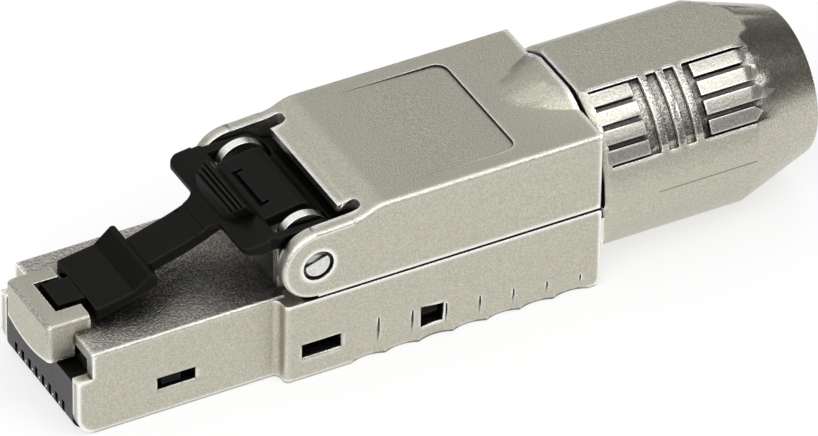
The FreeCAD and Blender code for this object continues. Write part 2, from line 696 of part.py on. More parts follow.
def sleeve_blank():
    """Turned outside of the sleeve: front chamfer, barrel and rear taper."""
    front_x = BODY_X1 + RUN_GAP
    outline = [
        Vector(front_x, 0, 0),
        Vector(front_x, 0, SLEEVE_R - SLEEVE_FRONT_CHAMFER),
        Vector(SLEEVE_X0 + SLEEVE_FRONT_CHAMFER, 0, SLEEVE_R),
        Vector(SLEEVE_X1 - SLEEVE_TAPER_LEN, 0, SLEEVE_R),
        Vector(SLEEVE_X1, 0, CABLE_BORE_R + CABLE_BORE_WALL),
        Vector(SLEEVE_X1, 0, 0),
    ]
    blank = outline_face(outline).revolve(Vector(0, 0, 0), Vector(1, 0, 0), 360)
    blank.translate(Vector(0, 0, AXIS_Z))
    return blank


def sleeve_flare():
    """Lower rim that spreads out in two slopes to meet the housing's corners."""
    front_x = BODY_X1 + RUN_GAP
    lag = FLARE_R * (1 - math.cos(math.radians(45)))
    outline = [
        Vector(front_x, 0, SLEEVE_R - SLEEVE_WALL / 2),
        Vector(front_x, 0, SLEEVE_R + FLARE_R),
        Vector(front_x + lag, 0, SLEEVE_R + lag),
        Vector(front_x + FLARE_R, 0, SLEEVE_R),
        Vector(front_x + FLARE_R, 0, SLEEVE_R - SLEEVE_WALL / 2),
    ]
    flare = outline_face(outline).revolve(Vector(0, 0, 0), Vector(1, 0, 0), 360)
    flare.translate(Vector(0, 0, AXIS_Z))
    return flare.common(
        wide(front_x, front_x + 2 * FLARE_R, HALF_BODY - SIDE_GAP, AXIS_Z - SLEEVE_FLAT, BODY_TOP - DECK_T)
    )


def radial_bar(points, angle):
    """Bar with an outline along X and around the sleeve, standing out from its axis."""
    bar = outline_face([Vector(x, y, SLEEVE_R - OVER) for x, y in points]).extrude(Vector(0, 0, 2 * OVER))
    bar.rotate(Vector(0, 0, 0), Vector(1, 0, 0), angle)
    bar.translate(Vector(0, 0, AXIS_Z))
    return bar


def grip_recess():
    """Finger recess on the near side, less the ribs and ridges that stand in it."""
    x0 = BODY_X1 + GRIP_SETBACK
    spread = GRIP_A1 - GRIP_A0
    field = Part.makeCylinder(SLEEVE_R + OVER, GRIP_LEN, Vector(0, 0, 0), Vector(0, 0, 1), spread)
    field = field.cut(Part.makeCylinder(SLEEVE_R - GRIP_DEPTH, GRIP_LEN))
    field.rotate(Vector(0, 0, 0), Vector(0, 1, 0), 90)
    field.rotate(Vector(0, 0, 0), Vector(1, 0, 0), 180 + GRIP_A0)
    field.translate(Vector(x0, 0, AXIS_Z))
    stays = []
    half = GRIP_RIB_W / 2
    for index in range(GRIP_RIBS):
        angle = GRIP_A0 + spread * (index + 0.5) / GRIP_RIBS
        front_x1 = x0 + GRIP_RIB_LEN
        stays.append(
            radial_bar([(x0 - SIDE_GAP, -half), (front_x1, -half), (front_x1, half), (x0 - SIDE_GAP, half)], angle)
        )
        rear_x0 = BODY_X1 + GRIP_REAR_SETBACK
        tip = BODY_X1 + GRIP_REAR_TIPS[index]
        neck = tip - GRIP_POINT
        stays.append(
            radial_bar([(rear_x0, -half), (neck, -half), (tip, 0), (neck, half), (rear_x0, half)], angle)
        )
    for setback in RIDGE_SETBACK:
        x = BODY_X1 + setback
        stays.append(along(SLEEVE_R + 2 * OVER, x - RIDGE_W / 2, x + RIDGE_W / 2))
    return field.cut(stays)


def sleeve():
    """Strain relief sleeve with flats, a flared lower rim and a recessed finger grip on its near side."""
    body = sleeve_blank().common(wide(0, 2 * SLEEVE_X1, SLEEVE_R + OVER, AXIS_Z - SLEEVE_FLAT, AXIS_Z + SLEEVE_FLAT))
    body = body.fuse(sleeve_flare())
    body = body.cut(wide(BODY_X1 - OVER, SLEEVE_X0, SLEEVE_R + OVER, BODY_TOP, AXIS_Z + SLEEVE_R + OVER))
    key_half = KEY_W / 2 + SLIDE_GAP
    key_y = SPIGOT_R + KEY_H + SLIDE_GAP
    spigot_end = SPIGOT_X1 + EDGE_R
    collet_end = SLEEVE_X1 - CABLE_BORE_LEN
    body = body.cut(
        [
            along(SPIGOT_R + SLIDE_GAP, BODY_X1 - OVER, spigot_end),
            along(COLLET_R + SIDE_GAP, BODY_X1, collet_end),
            along(CABLE_BORE_R, BODY_X1, SLEEVE_X1 + OVER),
            wide(BODY_X1 - OVER, spigot_end, key_y, AXIS_Z - key_half, AXIS_Z + key_half),
        ]
    )
    return body.cut(grip_recess()).removeSplitter()


def collet():
    """Slotted collet that grips the cable and its braid inside the sleeve."""
    x1 = SLEEVE_X1 - CABLE_BORE_LEN - SIDE_GAP
    body = along(COLLET_R, SPIGOT_X1, x1).cut(along(COLLET_R - COLLET_WALL, SPIGOT_X1 - OVER, x1 + OVER))
    slots = []
    for index in range(COLLET_SLOTS // 2):
        half = COLLET_SLOT_W / 2
        slot = block(SPIGOT_X1 + COLLET_RING_LEN, x1 + OVER, -SLEEVE_R, SLEEVE_R, -half, half)
        slot.rotate(Vector(0, 0, 0), Vector(1, 0, 0), (index + 0.5) * 360 / COLLET_SLOTS)
        slot.translate(Vector(0, 0, AXIS_Z))
        slots.append(slot)
    return body.cut(slots)


def contact_outline(grow=0.0):
    """Side outline of one contact blade, or of the slot around it."""
    blade = CONTACT_BLADE_T
    foot = CONTACT_FOOT_Z
    rise = CONTACT_RISE_X
    back = CONTACT_BACK_Z + grow
    top = CARD_TOP + blade + grow
    nose_x = CONTACT_NOSE_X - grow
    end_x = CONTACT_X1 + grow
    return [
        (nose_x, foot + 0.75 * blade),
        (nose_x, back - blade),
        (nose_x + blade, back),
        (rise - blade / 2, back),
        (rise + 2 * blade, top),
        (end_x, top),
        (end_x, CARD_TOP - grow),
        (rise + 2.6 * blade + grow, CARD_TOP - grow),
        (rise + blade / 2 + grow, foot + 1.75 * blade),
        (rise + grow, foot - grow),
        (nose_x + blade, foot - grow),
    ]


def contact_y(index):
    """Middle of one contact, counted from the far side."""
    return ((CONTACTS - 1) / 2 - index) * CONTACT_PITCH


def contact(index):
    """One gold-plated contact blade."""
    y = contact_y(index)
    return side_profile(contact_outline(), y - CONTACT_T / 2, y + CONTACT_T / 2)


def carrier():
    """Plastic contact carrier that fills the front of the nose, with a slot for each contact."""
    half = NOSE_IN - SNUG_GAP
    body = wide(0, CARRIER_LEN, half, 0, CARRIER_H)
    body = rounded(body, CARRIER_LEAD_R, lambda x0, x1, y0, y1, z0, z1: x1 < 0.01 and z1 < 0.01)
    ramp_z = CARD_TOP + 2 * CONTACT_BLADE_T
    body = body.cut(wide(CARRIER_RAMP_X, CARRIER_LEN + OVER, half - CARRIER_SIDE, ramp_z, CARRIER_H + OVER))
    x0, _, z0, z1 = NOSE_WINDOW
    catch = top_profile(
        [
            (x0 + SIDE_GAP, -half + SIDE_GAP),
            (x0 + SIDE_GAP, -half),
            (x0 + 4 * SIDE_GAP, -half - CATCH_REACH),
            (CARRIER_LEN, -half - CATCH_REACH),
            (CARRIER_LEN, -half + SIDE_GAP),
        ],
        z0 + SIDE_GAP,
        z1 - SIDE_GAP,
    )
    body = joined([body] + both_sides(catch))
    slots = []
    for index in range(CONTACTS):
        y = contact_y(index)
        y0 = y - CARRIER_SLOT / 2
        y1 = y + CARRIER_SLOT / 2
        slots.append(side_profile(contact_outline(SLIDE_GAP), y0, y1))
        slots.append(block(-OVER, CONTACT_RISE_X + SLIDE_GAP, y0, y1, -OVER, CONTACT_FOOT_Z + CONTACT_BLADE_T))
        slots.append(
            block(-OVER, CONTACT_NOSE_X + CONTACT_BLADE_T, y0, y1, CONTACT_FOOT_Z, CONTACT_BACK_Z + SLIDE_GAP)
        )
    return body.cut(slots)


def screen_strip():
    """Thin metal strip behind the notch in the nose, resting on the carrier."""
    x0 = NOTCH_X + SCREEN_SETBACK
    half = NOSE_IN - SNUG_GAP
    foot = wide(x0, x0 + SCREEN_FOOT, half, CARRIER_H, CARRIER_H + SCREEN_T)
    wall = wide(x0, x0 + SCREEN_T, half, CARRIER_H, NOSE_ROOF - SNUG_GAP)
    return foot.fuse(wall).removeSplitter()


def card():
    """Circuit card that joins the contacts to the terminal forks."""
    x0 = CARRIER_LEN + SNUG_GAP
    half_front = NOSE_IN - SIDE_GAP
    half = BODY_IN - SIDE_GAP
    wide_x = BODY_X0 + BODY_WALL + SIDE_GAP
    notch_half = BLOCK_HALF - 2 * SIDE_GAP
    notch_x0 = CATCH_WINDOW[0] - 3 * SIDE_GAP
    notch_x1 = CATCH_WINDOW[1] + 3 * SIDE_GAP
    flank = [
        (x0, half_front),
        (wide_x, half_front),
        (wide_x, half),
        (notch_x0, half),
        (notch_x0, notch_half),
        (notch_x1, notch_half),
        (notch_x1, half),
        (CARD_X1, half),
    ]
    return top_profile(mirrored_outline(flank), CARD_Z, CARD_TOP)


def fork_columns():
    """Y of each column of forks."""
    outer = BLOCK_HALF - FORK_EDGE
    return [outer * (2 * index / (FORK_COLUMNS - 1) - 1) for index in range(FORK_COLUMNS)]


def fork_places():
    """X and Y of the terminal forks."""
    return [(BLOCK_X0 + setback, y) for setback in FORK_ROW_SETBACK for y in fork_columns()]


def terminal_block():
    """Plastic block with a wire trough and a fork slot for each wire."""
    body = wide(BLOCK_X0, BLOCK_X1, BLOCK_HALF, CARD_TOP, BLOCK_TOP)
    cuts = []
    for y in fork_columns():
        half = WIRE_W / 2
        cuts.append(block(BLOCK_X0 - OVER, BLOCK_X1 + OVER, y - half, y + half, BLOCK_TOP - half, BLOCK_TOP + OVER))
    for x, y in fork_places():
        half_t = FORK_T / 2 + SNUG_GAP
        half_w = FORK_W / 2 + SNUG_GAP
        cuts.append(block(x - half_t, x + half_t, y - half_w, y + half_w, CARD_TOP - OVER, BLOCK_TOP + OVER))
    x0, x1, z0, z1 = CATCH_WINDOW
    leg_x0 = x0 + 2 * SIDE_GAP
    leg_x1 = x1 - 2 * SIDE_GAP
    leg_z = CARD_Z + SLIDE_GAP
    leg = block(leg_x0, leg_x1, BLOCK_HALF - SIDE_GAP, BODY_IN - SNUG_GAP, leg_z, BLOCK_TOP - OVER)
    hook = block(leg_x0, leg_x1, BODY_IN - 3 * SIDE_GAP, BODY_IN + CATCH_REACH, leg_z, z1 - SIDE_GAP)
    return joined([body.cut(cuts)] + both_sides(leg.fuse(hook)))


def fork(x, y):
    """One slotted terminal fork that cuts through a wire's insulation."""
    plate = block(x - FORK_T / 2, x + FORK_T / 2, y - FORK_W / 2, y + FORK_W / 2, CARD_TOP, FORK_TOP)
    half = FORK_SLOT_W / 2
    low = FORK_TOP - FORK_SLOT_DEPTH
    lead = FORK_TOP - 2 * FORK_LEAD
    flank = [(half, low), (half, lead), (half + FORK_LEAD, FORK_TOP), (half + FORK_LEAD, FORK_TOP + OVER)]
    outline = [(y + across_y, z) for across_y, z in flank]
    outline += [(y - across_y, z) for across_y, z in reversed(flank)]
    slot = outline_face([Vector(x - FORK_T, side, z) for side, z in outline]).extrude(Vector(2 * FORK_T, 0, 0))
    return plate.cut(slot)


def wire_presser():
    """Plastic comb under the lid that presses the wires into the forks."""
    x1 = PRESSER_X0 + PRESSER_LEN
    half = BODY_IN - SIDE_GAP - SNUG_GAP
    plate_z = LID_CEILING - PRESSER_PLATE_T
    front_x, rear_x = [BLOCK_X0 + setback for setback in FORK_ROW_SETBACK]
    ribs = [
        (PRESSER_X0, front_x - PRESSER_RELIEF),
        (front_x + PRESSER_RELIEF, rear_x - PRESSER_RELIEF),
        (rear_x + PRESSER_RELIEF, rear_x + 2 * PRESSER_RELIEF),
    ]
    bottom = FORK_TOP - PRESSER_BITE
    rib_half = fork_columns()[-1] + FORK_W / 2 + WIRE_W / 4
    shapes = [wide(PRESSER_X0, x1, half, plate_z, LID_CEILING)]
    for rib_x0, rib_x1 in ribs:
        shapes.append(wide(rib_x0, rib_x1, rib_half, bottom, plate_z + SIDE_GAP))
    step = wide(
        PRESSER_X0 - OVER, PRESSER_X0 + PRESSER_STEP, half + OVER, TONGUE_Z - TONGUE_T - SIDE_GAP, LID_CEILING + OVER
    )
    cuts = [step]
    for y in fork_columns():
        gap = WIRE_W / 2
        cuts.append(block(PRESSER_X0 - OVER, x1 + OVER, y - gap, y + gap, bottom - OVER, bottom + gap))
    return joined(shapes).cut(cuts)


def all_parts():
    """Node name and solid of every separate piece."""
    parts = {
        "lower_housing": housing(),
        "lid": lid(),
        "latch": latch(),
        "strain_relief_sleeve": sleeve(),
        "cable_collet": collet(),
        "contact_carrier": carrier(),
        "screen_strip": screen_strip(),
        "circuit_card": card(),
        "terminal_block": terminal_block(),
        "wire_presser": wire_presser(),
    }
    near, far = both_sides(hinge_pin())
    parts["hinge_pin_near"] = near
    parts["hinge_pin_far"] = far
    for index in range(CONTACTS):
        parts["contact_%d" % (index + 1)] = contact(index)
    for index, (x, y) in enumerate(fork_places()):
        parts["terminal_fork_%d" % (index + 1)] = fork(x, y)
    return parts


def main():
    """Write one STEP file for each piece."""
    os.makedirs("parts", exist_ok=True)
    for name, shape in all_parts().items():
        solid = shape.Solids[0]
        solid.exportStep("parts/%s.step" % name)
        print("%-22s solids %d valid %s volume %8.2f" % (name, len(shape.Solids), shape.isValid(), solid.Volume))


main()
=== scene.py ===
"""Looks of the field termination ethernet plug: castings, small visible parts, studio and camera."""

import logging
import math
from dataclasses import dataclass, replace
from enum import Enum
from typing import Callable, Union

import bmesh
import bpy
from mathutils import Matrix, Vector


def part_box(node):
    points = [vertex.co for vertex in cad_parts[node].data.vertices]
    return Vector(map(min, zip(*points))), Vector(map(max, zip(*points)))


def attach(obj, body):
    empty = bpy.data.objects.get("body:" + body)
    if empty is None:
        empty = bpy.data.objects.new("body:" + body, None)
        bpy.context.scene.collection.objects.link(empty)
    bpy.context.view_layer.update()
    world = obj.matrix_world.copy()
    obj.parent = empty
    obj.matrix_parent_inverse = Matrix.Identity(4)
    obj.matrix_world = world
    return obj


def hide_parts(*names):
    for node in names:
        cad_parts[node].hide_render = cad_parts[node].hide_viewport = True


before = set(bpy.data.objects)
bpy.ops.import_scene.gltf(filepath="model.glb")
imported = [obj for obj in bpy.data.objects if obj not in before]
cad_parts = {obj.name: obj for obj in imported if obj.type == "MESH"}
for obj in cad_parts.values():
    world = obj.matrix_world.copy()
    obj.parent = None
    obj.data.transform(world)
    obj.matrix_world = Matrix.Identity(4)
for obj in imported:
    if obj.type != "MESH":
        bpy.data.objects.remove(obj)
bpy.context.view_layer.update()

LOG = logging.getLogger("network_plug")
MM = 0.001

# Places of the colour sockets of a Mix node
MIX_FACTOR = 0
MIX_FIRST = 6
MIX_SECOND = 7
MIX_RESULT = 2

Colour = tuple[float, float, float, float]
Span = tuple[float, float]
Picker = Callable[[Vector, Vector], "Finish"]
Sockets = bpy.types.bpy_prop_collection
Value = Union[bpy.types.NodeSocket, float, Colour]


class Body(Enum):
    """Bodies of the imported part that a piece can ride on."""

    HOUSING = "housing_group"
    LID = "lid_group"
    LATCH = "latch_group"
    SLEEVE = "sleeve_group"


class Slot(Enum):
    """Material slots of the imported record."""

    NICKEL = "nickel_plated_zinc"
    STEEL = "pin_steel"
    BLACK = "black_plastic"
    DARK = "dark_plastic"
    GOLD = "gold_plate"


class NodeMaker:
    """Lays out and links the nodes of one shader tree."""

    def __init__(self, tree: bpy.types.NodeTree) -> None:
        """Keep the tree that the nodes go into.

        Args:
            tree: shader node tree of a material, a group or the world.
        """
        self.tree = tree

    def add(self, kind: str, **settings: object) -> bpy.types.Node:
        """Add a node.

        Args:
            kind: node type, such as ShaderNodeMath.
            **settings: properties of the node, by name.

        Returns:
            The new node.
        """
        node = self.tree.nodes.new(kind)
        for name, value in settings.items():
            setattr(node, name, value)
        return node

    def link(self, source: bpy.types.NodeSocket, target: bpy.types.NodeSocket) -> None:
        """Join an output to an input."""
        self.tree.links.new(source, target)

    def feed(self, target: bpy.types.NodeSocket, value: Value) -> None:
        """Give an input a number, a colour or a link.

        Args:
            target: the input.
            value: number, colour or socket.
        """
        if isinstance(value, bpy.types.NodeSocket):
            self.link(value, target)
        else:
            target.default_value = value

    def calc(
        self, operation: str, first: Value, second: Value = 0.0, third: Value = 0.0
    ) -> bpy.types.NodeSocket:
        """Add a Math node.

        Args:
            operation: name of the operation, such as MULTIPLY.
            first: number or socket of the first input.
            second: number or socket of the second input.
            third: number or socket of the third input.

        Returns:
            The result's socket.
        """
        node = self.add("ShaderNodeMath", operation=operation)
        for place, value in enumerate((first, second, third)):
            self.feed(node.inputs[place], value)
        return node.outputs[0]

    def ramp(self, value: bpy.types.NodeSocket, low: float, high: float) -> bpy.types.NodeSocket:
        """Spread a value smoothly from 0 at low to 1 at high.

        Args:
            value: socket to spread.
            low: value that becomes 0.
            high: value that becomes 1.

        Returns:
            The result's socket.
        """
        node = self.add("ShaderNodeMapRange", interpolation_type="SMOOTHSTEP")
        self.link(value, node.inputs["Value"])
        node.inputs["From Min"].default_value = low
        node.inputs["From Max"].default_value = high
        return node.outputs["Result"]

    def mix(self, factor: Value, first: Value, second: Value) -> bpy.types.NodeSocket:
        """Mix two colours.

        Args:
            factor: number or socket, 0 for the first colour and 1 for the second.
            first: colour or socket.
            second: colour or socket.

        Returns:
            The mixed colour's socket.
        """
        node = self.add("ShaderNodeMix", data_type="RGBA")
        self.feed(node.inputs[MIX_FACTOR], factor)
        self.feed(node.inputs[MIX_FIRST], first)
        self.feed(node.inputs[MIX_SECOND], second)
        return node.outputs[MIX_RESULT]


def rgba(red: float, green: float, blue: float) -> Colour:
    """Opaque colour from its linear parts."""
    return (red, green, blue, 1.0)


def grey(level: float) -> Colour:
    """Opaque neutral grey."""
    return (level, level, level, 1.0)


@dataclass(frozen=True)
class SharedEffect:
    """A shader node group that several finishes use."""

    name: str
    inputs: tuple[str, ...]
    outputs: tuple[tuple[str, str], ...]

    def tree(self) -> bpy.types.NodeTree:
        """Build the group once.

        Returns:
            The node group with its named inputs and outputs.
        """
        found = bpy.data.node_groups.get(self.name)
        if found:
            return found
        group = bpy.data.node_groups.new(self.name, "ShaderNodeTree")
        for name in self.inputs:
            group.interface.new_socket(name, in_out="INPUT", socket_type="NodeSocketFloat")
        for name, kind in self.outputs:
            group.interface.new_socket(name, in_out="OUTPUT", socket_type=kind)
        make = NodeMaker(group)
        self.fill(make, make.add("NodeGroupInput").outputs, make.add("NodeGroupOutput").inputs)
        return group

    def fill(self, make: NodeMaker, given: Sockets, wanted: Sockets) -> None:
        """Lay out the nodes between the group's inputs and outputs.

        Args:
            make: maker that adds to the group.
            given: sockets of the group's inputs, by name.
            wanted: sockets of the group's outputs, by name.
        """
        raise NotImplementedError


@dataclass(frozen=True)
class SoftEdges(SharedEffect):
    """Finds outer edges, for a painted highlight on them, and rounds the light on them."""

    name: str = "soft edges"
    inputs: tuple[str, ...] = ("Radius", "Reach")
    outputs: tuple[tuple[str, str], ...] = (("Mask", "NodeSocketFloat"), ("Normal", "NodeSocketVector"))
    bevel_samples: int = 6
    depth_samples: int = 8
    spread: Span = (0.08, 0.34)

    def fill(self, make: NodeMaker, given: Sockets, wanted: Sockets) -> None:
        """Look inwards from the surface, where only an outer edge has another face close by.

        Args:
            make: maker that adds to the group.
            given: sockets Radius and Reach, in metres.
            wanted: sockets Mask and Normal.
        """
        narrow = make.add("ShaderNodeBevel", samples=self.bevel_samples)
        make.link(given["Radius"], narrow.inputs["Radius"])
        inner = make.add(
            "ShaderNodeAmbientOcclusion", samples=self.depth_samples, inside=True, only_local=True
        )
        make.link(given["Reach"], inner.inputs["Distance"])
        thin = make.calc("SUBTRACT", 1.0, inner.outputs["AO"])
        make.link(make.ramp(thin, *self.spread), wanted["Mask"])
        make.link(narrow.outputs["Normal"], wanted["Normal"])


@dataclass(frozen=True)
class Hollows(SharedEffect):
    """Finds grooves and inner corners, where a painted shade darkens the colour."""

    name: str = "hollows"
    inputs: tuple[str, ...] = ("Reach",)
    outputs: tuple[tuple[str, str], ...] = (("Mask", "NodeSocketFloat"),)
    samples: int = 8
    spread: Span = (0.10, 0.38)

    def fill(self, make: NodeMaker, given: Sockets, wanted: Sockets) -> None:
        """Turn the open share of the near surroundings into a mask.

        Args:
            make: maker that adds to the group.
            given: socket Reach, in metres.
            wanted: socket Mask.
        """
        around = make.add("ShaderNodeAmbientOcclusion", samples=self.samples)
        make.link(given["Reach"], around.inputs["Distance"])
        closed = make.calc("SUBTRACT", 1.0, around.outputs["AO"])
        make.link(make.ramp(closed, *self.spread), wanted["Mask"])


@dataclass(frozen=True)
class FineGrain(SharedEffect):
    """Fine and coarse mottling of a cast or moulded surface."""

    name: str = "fine grain"
    inputs: tuple[str, ...] = ("Scale",)
    outputs: tuple[tuple[str, str], ...] = (("Fine", "NodeSocketFloat"), ("Coarse", "NodeSocketFloat"))
    layers: tuple[tuple[str, float, float], ...] = (("Fine", 1.0, 3.0), ("Coarse", 0.2, 4.0))
    raggedness: float = 0.65

    def fill(self, make: NodeMaker, given: Sockets, wanted: Sockets) -> None:
        """Lay two noises over the piece, one five times coarser.

        Args:
            make: maker that adds to the group.
            given: socket Scale, the number of grains in a metre.
            wanted: sockets Fine and Coarse.
        """
        place = make.add("ShaderNodeTexCoord")
        for name, scale, detail in self.layers:
            noise = make.add("ShaderNodeTexNoise")
            noise.inputs["Detail"].default_value = detail
            noise.inputs["Roughness"].default_value = self.raggedness
            make.link(place.outputs["Object"], noise.inputs["Vector"])
            make.link(make.calc("MULTIPLY", given["Scale"], scale), noise.inputs["Scale"])
            make.link(noise.outputs["Fac"], wanted[name])


@dataclass(frozen=True)
class Finish:
    """One surface finish: mottled colour, painted highlights on outer edges, painted shade in grooves
    and a fine bump; lengths in metres.
    """

    name: str
    colour: Colour
    dark: Colour
    painted_highlight_colour: Colour
    painted_shade_colour: Colour
    metallic: float = 0.0
    roughness: float = 0.5
    roughness_spread: float = 0.1
    painted_highlight_amount: float = 0.5
    painted_shade_amount: float = 0.8
    painted_shade_reach: float = 0.0006
    painted_shade_break: float = 0.0
    grain_scale: float = 6000.0
    grain_amount: float = 0.5
    bump_depth: float = 0.00001
    edge_radius: float = 0.00008
    edge_reach: float = 0.00022
    edge_polish: float = 0.0
    specular: float = 0.5

    def material(self) -> bpy.types.Material:
        """Build the finish's material once.

        Returns:
            The material.
        """
        found = bpy.data.materials.get(self.name)
        if found:
            return found
        material = bpy.data.materials.new(self.name)
        material.use_nodes = True
        tree = material.node_tree
        tree.nodes.clear()
        make = NodeMaker(tree)
        output = make.add("ShaderNodeOutputMaterial")
        shader = make.add("ShaderNodeBsdfPrincipled")
        make.link(shader.outputs["BSDF"], output.inputs["Surface"])
        shader.inputs["Metallic"].default_value = self.metallic
        shader.inputs["Specular IOR Level"].default_value = self.specular
        grain = make.add("ShaderNodeGroup", node_tree=FineGrain().tree())
        grain.inputs["Scale"].default_value = self.grain_scale
        edges = make.add("ShaderNodeGroup", node_tree=SoftEdges().tree())
        edges.inputs["Radius"].default_value = self.edge_radius
        edges.inputs["Reach"].default_value = self.edge_reach
        hollows = make.add("ShaderNodeGroup", node_tree=Hollows().tree())
        hollows.inputs["Reach"].default_value = self.painted_shade_reach
        half = self.grain_amount / 2
        spots = make.ramp(grain.outputs["Fine"], 0.5 - half, 0.5 + half)
        colour = make.mix(spots, self.dark, self.colour)
        # Painted shade: grooves, inner corners and the surroundings of walls get the dark shade colour
        # mixed in, broken up by the grain where asked.
        depth = make.calc("MULTIPLY_ADD", spots, -self.painted_shade_break, self.painted_shade_amount)
        shade = make.calc("MULTIPLY", hollows.outputs["Mask"], depth)
        colour = make.mix(shade, colour, self.painted_shade_colour)
        # Painted highlight: outer edges get the light highlight colour mixed in, and a lower roughness.
        open_edge = make.calc("SUBTRACT", edges.outputs["Mask"], shade)
        lit = make.calc("MULTIPLY", make.calc("MAXIMUM", open_edge, 0.0), self.painted_highlight_amount)
        make.link(make.mix(lit, colour, self.painted_highlight_colour), shader.inputs["Base Color"])
        low = self.roughness - self.roughness_spread / 2
        rough = make.calc("MULTIPLY_ADD", grain.outputs["Coarse"], self.roughness_spread, low)
        make.link(make.calc("MULTIPLY_ADD", lit, -self.edge_polish, rough), shader.inputs["Roughness"])
        bump = make.add("ShaderNodeBump")
        bump.inputs["Strength"].default_value = 1.0
        bump.inputs["Distance"].default_value = self.bump_depth
        make.link(grain.outputs["Fine"], bump.inputs["Height"])
        make.link(edges.outputs["Normal"], bump.inputs["Normal"])
        make.link(bump.outputs["Normal"], shader.inputs["Normal"])
        return material


NICKEL = Finish(
    name="satin_nickel",
    colour=rgba(0.67, 0.65, 0.545),
    dark=rgba(0.44, 0.425, 0.35),
    painted_highlight_colour=rgba(0.99, 0.98, 0.94),
    painted_shade_colour=rgba(0.06, 0.055, 0.045),
    metallic=1.0,
    roughness=0.36,
    painted_highlight_amount=1.0,
    painted_shade_amount=0.9,
    painted_shade_reach=0.00035,
    grain_scale=8000.0,
    bump_depth=0.00005,
    edge_reach=0.00042,
    edge_polish=0.2,
)
# Lid: a wider painted highlight along its rounded edges.
LID_NICKEL = replace(NICKEL, name="satin_lid_nickel", edge_reach=0.00055, edge_polish=0.24)
# Guard: a narrower painted highlight on its edges.
GUARD_NICKEL = replace(NICKEL, name="satin_guard_nickel", edge_reach=0.00014)
# Nose top: mottled plating with a painted dark reflection of the latch and walls, reaching 4 mm.
NOSE_TOP = Finish(
    name="mottled_nickel_painted_reflection",
    colour=rgba(0.66, 0.64, 0.58),
    dark=rgba(0.44, 0.42, 0.37),
    painted_highlight_colour=rgba(0.99, 0.98, 0.94),
    painted_shade_colour=rgba(0.03, 0.028, 0.024),
    metallic=1.0,
    roughness=0.24,
    painted_highlight_amount=1.0,
    painted_shade_amount=1.0,
    painted_shade_reach=0.004,
    painted_shade_break=0.4,
    grain_scale=5500.0,
    grain_amount=0.34,
    bump_depth=0.0001,
    edge_reach=0.0004,
    edge_polish=0.12,
)
# Grip floor: plating mottled very dark, a painted shade in the grip's recess.
GRIP_FLOOR = Finish(
    name="grip_floor_painted_shade",
    colour=rgba(0.66, 0.64, 0.58),
    dark=rgba(0.12, 0.115, 0.098),
    painted_highlight_colour=rgba(0.99, 0.98, 0.94),
    painted_shade_colour=rgba(0.02, 0.019, 0.016),
    metallic=1.0,
    roughness=0.2,
    painted_highlight_amount=1.0,
    painted_shade_amount=0.9,
    painted_shade_reach=0.0006,
    grain_scale=7000.0,
    bump_depth=0.00004,
)
RIB_TOP = Finish(
    name="rib_nickel",
    colour=rgba(0.64, 0.62, 0.56),
    dark=rgba(0.36, 0.345, 0.30),
    painted_highlight_colour=rgba(1.0, 1.0, 0.97),
    painted_shade_colour=rgba(0.04, 0.038, 0.032),
    metallic=1.0,
    roughness=0.36,
    painted_highlight_amount=0.8,
    grain_scale=7000.0,
    bump_depth=0.00003,
)
CONE = Finish(
    name="turned_nickel",
    colour=rgba(0.66, 0.64, 0.54),
    dark=rgba(0.37, 0.355, 0.295),
    painted_highlight_colour=rgba(0.99, 0.98, 0.94),
    painted_shade_colour=rgba(0.02, 0.019, 0.016),
    metallic=1.0,
    roughness=0.27,
    painted_highlight_amount=0.2,
    painted_shade_amount=0.95,
    painted_shade_reach=0.0008,
    grain_scale=7000.0,
    grain_amount=0.6,
    bump_depth=0.00002,
)
SEAM = Finish(
    name="seam_nickel",
    colour=rgba(0.24, 0.23, 0.195),
    dark=rgba(0.14, 0.135, 0.115),
    painted_highlight_colour=rgba(0.28, 0.27, 0.23),
    painted_shade_colour=rgba(0.06, 0.055, 0.045),
    metallic=1.0,
    roughness=0.4,
    painted_highlight_amount=0.1,
)
# Painted shade: a dark copy of the plating, for the walls of the windows and of the label recess.
SHADED = Finish(
    name="shaded_nickel",
    colour=rgba(0.06, 0.057, 0.05),
    dark=rgba(0.03, 0.028, 0.024),
    painted_highlight_colour=rgba(0.12, 0.115, 0.1),
    painted_shade_colour=rgba(0.01, 0.0095, 0.008),
    metallic=1.0,
    roughness=0.5,
    painted_highlight_amount=0.2,
)
# Painted highlight: a lighter copy of the plating, for the ears' upper faces and the contact tips.
BRIGHT = Finish(
    name="nickel_painted_highlight",
    colour=rgba(0.96, 0.95, 0.92),
    dark=rgba(0.80, 0.79, 0.75),
    painted_highlight_colour=rgba(1.0, 1.0, 1.0),
    painted_shade_colour=rgba(0.10, 0.095, 0.085),
    metallic=1.0,
    roughness=0.25,
)
STEEL = Finish(
    name="bright_steel",
    colour=rgba(0.82, 0.81, 0.78),
    dark=rgba(0.62, 0.61, 0.57),
    painted_highlight_colour=rgba(1.0, 1.0, 0.98),
    painted_shade_colour=rgba(0.03, 0.03, 0.028),
    metallic=1.0,
    roughness=0.22,
)
BLACK = Finish(
    name="moulded_black",
    colour=rgba(0.0048, 0.0044, 0.0034),
    dark=rgba(0.0026, 0.0024, 0.0019),
    painted_highlight_colour=rgba(0.030, 0.028, 0.022),
    painted_shade_colour=rgba(0.0003, 0.0003, 0.0003),
    roughness=0.42,
    painted_highlight_amount=0.4,
    specular=0.1,
)
DARK = Finish(
    name="moulded_dark_grey",
    colour=rgba(0.075, 0.068, 0.072),
    dark=rgba(0.040, 0.036, 0.038),
    painted_highlight_colour=rgba(0.16, 0.15, 0.15),
    painted_shade_colour=rgba(0.004, 0.004, 0.004),
    roughness=0.45,
    specular=0.3,
    grain_scale=3600.0,
)
